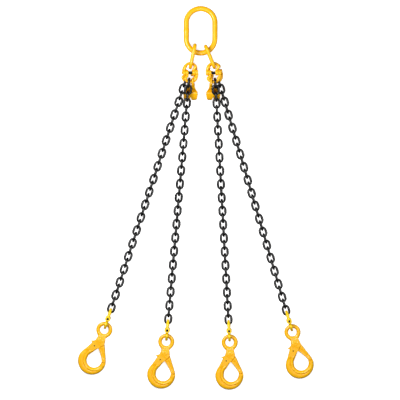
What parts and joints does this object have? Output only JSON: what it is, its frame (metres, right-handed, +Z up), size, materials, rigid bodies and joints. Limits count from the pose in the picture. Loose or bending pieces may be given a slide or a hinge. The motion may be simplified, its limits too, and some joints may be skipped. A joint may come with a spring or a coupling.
{
  "type": "four leg chain sling",
  "caption": "Lifting sling: an oblong master link and sub-links carrying chain legs, each with a grab hook, hinged connecting links and a self-locking hook.",
  "frame": {"origin": "centre of the sling's footprint as laid out flat, on the floor", "axes": "+Y from the hooks to the master link, +Z up from the floor the sling lies on, +X to the right seen from above with the master link at the top"},
  "size_m": [1.0422, 1.697, 0.0989],
  "materials": {
    "yellow_paint": "glossy golden yellow powder coat",
    "black_chain": "semi-gloss black lacquer on quenched steel",
    "black_pins": "blackened steel, satin"
  },
  "bodies": {
    "master": {"master_link": "yellow_paint"},
    "sub_link_left": {"sub_link_left": "yellow_paint"},
    "sub_link_right": {"sub_link_right": "yellow_paint"},
    "leg_1_upper_link_top": {"leg_1_upper_link_top_half": "yellow_paint", "leg_1_upper_link_pin": "black_pins"},
    "leg_1_upper_link_bottom": {"leg_1_upper_link_bottom_half": "yellow_paint"},
    "leg_1_grab_hook": {"leg_1_grab_hook": "yellow_paint"},
    "leg_1_chain_upper": {"leg_1_chain_upper": "black_chain"},
    "leg_1_chain_lower": {"leg_1_chain_lower": "black_chain"},
    "leg_1_lower_link_top": {"leg_1_lower_link_top_half": "yellow_paint", "leg_1_lower_link_pin": "black_pins"},
    "leg_1_lower_link_bottom": {"leg_1_lower_link_bottom_half": "yellow_paint"},
    "leg_1_hook": {"leg_1_hook_body": "yellow_paint", "leg_1_hook_latch_pin": "yellow_paint", "leg_1_hook_trigger_pin": "black_pins"},
    "leg_1_latch": {"leg_1_hook_latch": "yellow_paint"},
    "leg_1_trigger": {"leg_1_hook_trigger": "yellow_paint"},
    "leg_2_upper_link_top": {"leg_2_upper_link_top_half": "yellow_paint", "leg_2_upper_link_pin": "black_pins"},
    "leg_2_upper_link_bottom": {"leg_2_upper_link_bottom_half": "yellow_paint"},
    "leg_2_grab_hook": {"leg_2_grab_hook": "yellow_paint"},
    "leg_2_chain_upper": {"leg_2_chain_upper": "black_chain"},
    "leg_2_chain_lower": {"leg_2_chain_lower": "black_chain"},
    "leg_2_lower_link_top": {"leg_2_lower_link_top_half": "yellow_paint", "leg_2_lower_link_pin": "black_pins"},
    "leg_2_lower_link_bottom": {"leg_2_lower_link_bottom_half": "yellow_paint"},
    "leg_2_hook": {"leg_2_hook_body": "yellow_paint", "leg_2_hook_latch_pin": "yellow_paint", "leg_2_hook_trigger_pin": "black_pins"},
    "leg_2_latch": {"leg_2_hook_latch": "yellow_paint"},
    "leg_2_trigger": {"leg_2_hook_trigger": "yellow_paint"},
    "leg_3_upper_link_top": {"leg_3_upper_link_top_half": "yellow_paint", "leg_3_upper_link_pin": "black_pins"},
    "leg_3_upper_link_bottom": {"leg_3_upper_link_bottom_half": "yellow_paint"},
    "leg_3_grab_hook": {"leg_3_grab_hook": "yellow_paint"},
    "leg_3_chain_upper": {"leg_3_chain_upper": "black_chain"},
    "leg_3_chain_lower": {"leg_3_chain_lower": "black_chain"},
    "leg_3_lower_link_top": {"leg_3_lower_link_top_half": "yellow_paint", "leg_3_lower_link_pin": "black_pins"},
    "leg_3_lower_link_bottom": {"leg_3_lower_link_bottom_half": "yellow_paint"},
    "leg_3_hook": {"leg_3_hook_body": "yellow_paint", "leg_3_hook_latch_pin": "yellow_paint", "leg_3_hook_trigger_pin": "black_pins"},
    "leg_3_latch": {"leg_3_hook_latch": "yellow_paint"},
    "leg_3_trigger": {"leg_3_hook_trigger": "yellow_paint"},
    "leg_4_upper_link_top": {"leg_4_upper_link_top_half": "yellow_paint", "leg_4_upper_link_pin": "black_pins"},
    "leg_4_upper_link_bottom": {"leg_4_upper_link_bottom_half": "yellow_paint"},
    "leg_4_grab_hook": {"leg_4_grab_hook": "yellow_paint"},
    "leg_4_chain_upper": {"leg_4_chain_upper": "black_chain"},
    "leg_4_chain_lower": {"leg_4_chain_lower": "black_chain"},
    "leg_4_lower_link_top": {"leg_4_lower_link_top_half": "yellow_paint", "leg_4_lower_link_pin": "black_pins"},
    "leg_4_lower_link_bottom": {"leg_4_lower_link_bottom_half": "yellow_paint"},
    "leg_4_hook": {"leg_4_hook_body": "yellow_paint", "leg_4_hook_latch_pin": "yellow_paint", "leg_4_hook_trigger_pin": "black_pins"},
    "leg_4_latch": {"leg_4_hook_latch": "yellow_paint"},
    "leg_4_trigger": {"leg_4_hook_trigger": "yellow_paint"}
  },
  "joints": [
    {"name": "sub_link_left_swing", "type": "hinge", "parent": "master", "child": "sub_link_left", "pos_m": [-0.00943, 0.64595, 0.04818], "axis": [-0.9781, 0.2079, 0], "range_deg": [-10, 50]},
    {"name": "sub_link_right_swing", "type": "hinge", "parent": "master", "child": "sub_link_right", "pos_m": [0.05268, 0.64651, 0.04808], "axis": [0.9245, 0.3811, 0], "range_deg": [-50, 10]},
    {"name": "leg_1_swing", "type": "hinge", "parent": "sub_link_left", "child": "leg_1_upper_link_top", "pos_m": [-0.02272, 0.57863, 0.04393], "axis": [0, 0, 1], "range_deg": [-45, 3]},
    {"name": "leg_1_upper_link_fold", "type": "hinge", "parent": "leg_1_upper_link_top", "child": "leg_1_upper_link_bottom", "pos_m": [-0.02896, 0.55176, 0.04321], "axis": [0.9741, -0.226, 0], "range_deg": [-1, 45]},
    {"name": "leg_1_grab_hook_swing", "type": "hinge", "parent": "leg_1_upper_link_bottom", "child": "leg_1_grab_hook", "pos_m": [-0.02873, 0.5099, 0.03807], "axis": [0.9875, -0.1575, 0], "range_deg": [0, 60]},
    {"name": "leg_1_chain_lift", "type": "hinge", "parent": "leg_1_upper_link_bottom", "child": "leg_1_chain_upper", "pos_m": [-0.04671, 0.51348, 0.0421], "axis": [0.9507, -0.31, 0], "range_deg": [-8, 2]},
    {"name": "leg_1_chain_bend", "type": "hinge", "parent": "leg_1_chain_upper", "child": "leg_1_chain_lower", "pos_m": [-0.21011, 0.01235, 0.02009], "axis": [0.0113, 0.0345, 0.9993], "range_deg": [-10, 8]},
    {"name": "leg_1_lower_link_lift", "type": "hinge", "parent": "leg_1_chain_lower", "child": "leg_1_lower_link_top", "pos_m": [-0.379, -0.5056, 0.03988], "axis": [0.9507, -0.31, 0], "range_deg": [-60, 45]},
    {"name": "leg_1_lower_link_fold", "type": "hinge", "parent": "leg_1_lower_link_top", "child": "leg_1_lower_link_bottom", "pos_m": [-0.38799, -0.53316, 0.03628], "axis": [-0.0227, -0.0696, 0.9973], "range_deg": [-60, 60]},
    {"name": "leg_1_hook_swing", "type": "hinge", "parent": "leg_1_lower_link_bottom", "child": "leg_1_hook", "pos_m": [-0.40113, -0.57346, 0.03317], "axis": [-0.0227, -0.0696, 0.9973], "range_deg": [-50, 50]},
    {"name": "leg_1_latch_hinge", "type": "hinge", "parent": "leg_1_hook", "child": "leg_1_latch", "pos_m": [-0.42013, -0.6269, 0.029], "axis": [-0.0227, -0.0696, 0.9973], "range_deg": [0, 45]},
    {"name": "leg_1_trigger_hinge", "type": "hinge", "parent": "leg_1_hook", "child": "leg_1_trigger", "pos_m": [-0.44745, -0.65261, 0.02658], "axis": [0.0227, 0.0696, -0.9973], "range_deg": [0, 15], "stiffness_Nm_per_rad": 0.5},
    {"name": "leg_2_swing", "type": "hinge", "parent": "sub_link_left", "child": "leg_2_upper_link_top", "pos_m": [-0.02467, 0.57903, 0.07093], "axis": [0, 0, 1], "range_deg": [-2, 4]},
    {"name": "leg_2_upper_link_fold", "type": "hinge", "parent": "leg_2_upper_link_top", "child": "leg_2_upper_link_bottom", "pos_m": [-0.02346, 0.55165, 0.07415], "axis": [0.999, 0.0443, 0], "range_deg": [-45, 0]},
    {"name": "leg_2_grab_hook_swing", "type": "hinge", "parent": "leg_2_upper_link_bottom", "child": "leg_2_grab_hook", "pos_m": [-0.01293, 0.51077, 0.07508], "axis": [0.9975, 0.0705, 0], "range_deg": [-2, 0]},
    {"name": "leg_2_chain_lift", "type": "hinge", "parent": "leg_2_upper_link_bottom", "child": "leg_2_chain_upper", "pos_m": [-0.03125, 0.51018, 0.07911], "axis": [0.9963, -0.0865, 0], "range_deg": [-30, 1]},
    {"name": "leg_2_chain_bend", "type": "hinge", "parent": "leg_2_chain_upper", "child": "leg_2_chain_lower", "pos_m": [-0.07658, -0.0121, 0.02019], "axis": [0.0031, 0.0362, 0.9993], "range_deg": [-6, 7]},
    {"name": "leg_2_lower_link_lift", "type": "hinge", "parent": "leg_2_chain_lower", "child": "leg_2_lower_link_top", "pos_m": [-0.12368, -0.55485, 0.03997], "axis": [0.9963, -0.0865, 0], "range_deg": [-60, 45]},
    {"name": "leg_2_lower_link_fold", "type": "hinge", "parent": "leg_2_lower_link_top", "child": "leg_2_lower_link_bottom", "pos_m": [-0.12618, -0.58374, 0.03637], "axis": [-0.0063, -0.073, 0.9973], "range_deg": [-60, 60]},
    {"name": "leg_2_hook_swing", "type": "hinge", "parent": "leg_2_lower_link_bottom", "child": "leg_2_hook", "pos_m": [-0.12985, -0.62597, 0.03326], "axis": [-0.0063, -0.073, 0.9973], "range_deg": [-50, 50]},
    {"name": "leg_2_latch_hinge", "type": "hinge", "parent": "leg_2_hook", "child": "leg_2_latch", "pos_m": [-0.13625, -0.68232, 0.0291], "axis": [-0.0063, -0.073, 0.9973], "range_deg": [0, 45]},
    {"name": "leg_2_trigger_hinge", "type": "hinge", "parent": "leg_2_hook", "child": "leg_2_trigger", "pos_m": [-0.15702, -0.71356, 0.02668], "axis": [0.0063, 0.073, -0.9973], "range_deg": [0, 15], "stiffness_Nm_per_rad": 0.5},
    {"name": "leg_3_swing", "type": "hinge", "parent": "sub_link_right", "child": "leg_3_upper_link_top", "pos_m": [0.07753, 0.57878, 0.07093], "axis": [0, 0, 1], "range_deg": [-4, 2]},
    {"name": "leg_3_upper_link_fold", "type": "hinge", "parent": "leg_3_upper_link_top", "child": "leg_3_upper_link_bottom", "pos_m": [0.07761, 0.55137, 0.07415], "axis": [1, 0.003, 0], "range_deg": [-45, 0]},
    {"name": "leg_3_grab_hook_swing", "type": "hinge", "parent": "leg_3_upper_link_bottom", "child": "leg_3_grab_hook", "pos_m": [0.06768, 0.5106, 0.07508], "axis": [0.9948, -0.1016, 0], "range_deg": [-2, 0]},
    {"name": "leg_3_chain_lift", "type": "hinge", "parent": "leg_3_upper_link_bottom", "child": "leg_3_chain_upper", "pos_m": [0.08596, 0.50973, 0.07911], "axis": [0.9985, 0.0553, 0], "range_deg": [-20, 0]},
    {"name": "leg_3_chain_bend", "type": "hinge", "parent": "leg_3_chain_upper", "child": "leg_3_chain_lower", "pos_m": [0.11495, -0.01372, 0.02019], "axis": [-0.002, 0.0362, 0.9993], "range_deg": [-7, 6]},
    {"name": "leg_3_lower_link_lift", "type": "hinge", "parent": "leg_3_chain_lower", "child": "leg_3_lower_link_top", "pos_m": [0.14508, -0.55767, 0.03997], "axis": [0.9985, 0.0553, 0], "range_deg": [-60, 45]},
    {"name": "leg_3_lower_link_fold", "type": "hinge", "parent": "leg_3_lower_link_top", "child": "leg_3_lower_link_bottom", "pos_m": [0.14668, -0.58662, 0.03637], "axis": [0.0041, -0.0731, 0.9973], "range_deg": [-60, 60]},
    {"name": "leg_3_hook_swing", "type": "hinge", "parent": "leg_3_lower_link_bottom", "child": "leg_3_hook", "pos_m": [0.14902, -0.62894, 0.03326], "axis": [0.0041, -0.0731, 0.9973], "range_deg": [-50, 50]},
    {"name": "leg_3_latch_hinge", "type": "hinge", "parent": "leg_3_hook", "child": "leg_3_latch", "pos_m": [0.15066, -0.68564, 0.0291], "axis": [0.0041, -0.0731, 0.9973], "range_deg": [0, 45]},
    {"name": "leg_3_trigger_hinge", "type": "hinge", "parent": "leg_3_hook", "child": "leg_3_trigger", "pos_m": [0.13451, -0.71949, 0.02668], "axis": [-0.0041, 0.0731, -0.9973], "range_deg": [0, 15], "stiffness_Nm_per_rad": 0.5},
    {"name": "leg_4_swing", "type": "hinge", "parent": "sub_link_right", "child": "leg_4_upper_link_top", "pos_m": [0.07957, 0.57866, 0.04393], "axis": [0, 0, 1], "range_deg": [-3, 45]},
    {"name": "leg_4_upper_link_fold", "type": "hinge", "parent": "leg_4_upper_link_top", "child": "leg_4_upper_link_bottom", "pos_m": [0.085, 0.55161, 0.04321], "axis": [0.9804, 0.1971, 0], "range_deg": [-1, 45]},
    {"name": "leg_4_grab_hook_swing", "type": "hinge", "parent": "leg_4_upper_link_bottom", "child": "leg_4_grab_hook", "pos_m": [0.08354, 0.50978, 0.03807], "axis": [0.9917, 0.1283, 0], "range_deg": [0, 60]},
    {"name": "leg_4_chain_lift", "type": "hinge", "parent": "leg_4_upper_link_bottom", "child": "leg_4_chain_upper", "pos_m": [0.10161, 0.51282, 0.0421], "axis": [0.9595, 0.2818, 0], "range_deg": [-8, 2]},
    {"name": "leg_4_chain_bend", "type": "hinge", "parent": "leg_4_chain_upper", "child": "leg_4_chain_lower", "pos_m": [0.25017, 0.0071, 0.02009], "axis": [-0.0102, 0.0348, 0.9993], "range_deg": [-8, 10]},
    {"name": "leg_4_lower_link_lift", "type": "hinge", "parent": "leg_4_chain_lower", "child": "leg_4_lower_link_top", "pos_m": [0.40371, -0.5156, 0.03988], "axis": [0.9595, 0.2818, 0], "range_deg": [-60, 45]},
    {"name": "leg_4_lower_link_fold", "type": "hinge", "parent": "leg_4_lower_link_top", "child": "leg_4_lower_link_bottom", "pos_m": [0.41189, -0.54342, 0.03628], "axis": [0.0206, -0.0703, 0.9973], "range_deg": [-60, 60]},
    {"name": "leg_4_hook_swing", "type": "hinge", "parent": "leg_4_lower_link_bottom", "child": "leg_4_hook", "pos_m": [0.42383, -0.58409, 0.03317], "axis": [0.0206, -0.0703, 0.9973], "range_deg": [-50, 50]},
    {"name": "leg_4_latch_hinge", "type": "hinge", "parent": "leg_4_hook", "child": "leg_4_latch", "pos_m": [0.43837, -0.63891, 0.029], "axis": [0.0206, -0.0703, 0.9973], "range_deg": [0, 45]},
    {"name": "leg_4_trigger_hinge", "type": "hinge", "parent": "leg_4_hook", "child": "leg_4_trigger", "pos_m": [0.43038, -0.67556, 0.02658], "axis": [-0.0206, 0.0703, -0.9973], "range_deg": [0, 15], "stiffness_Nm_per_rad": 0.5}
  ]
}
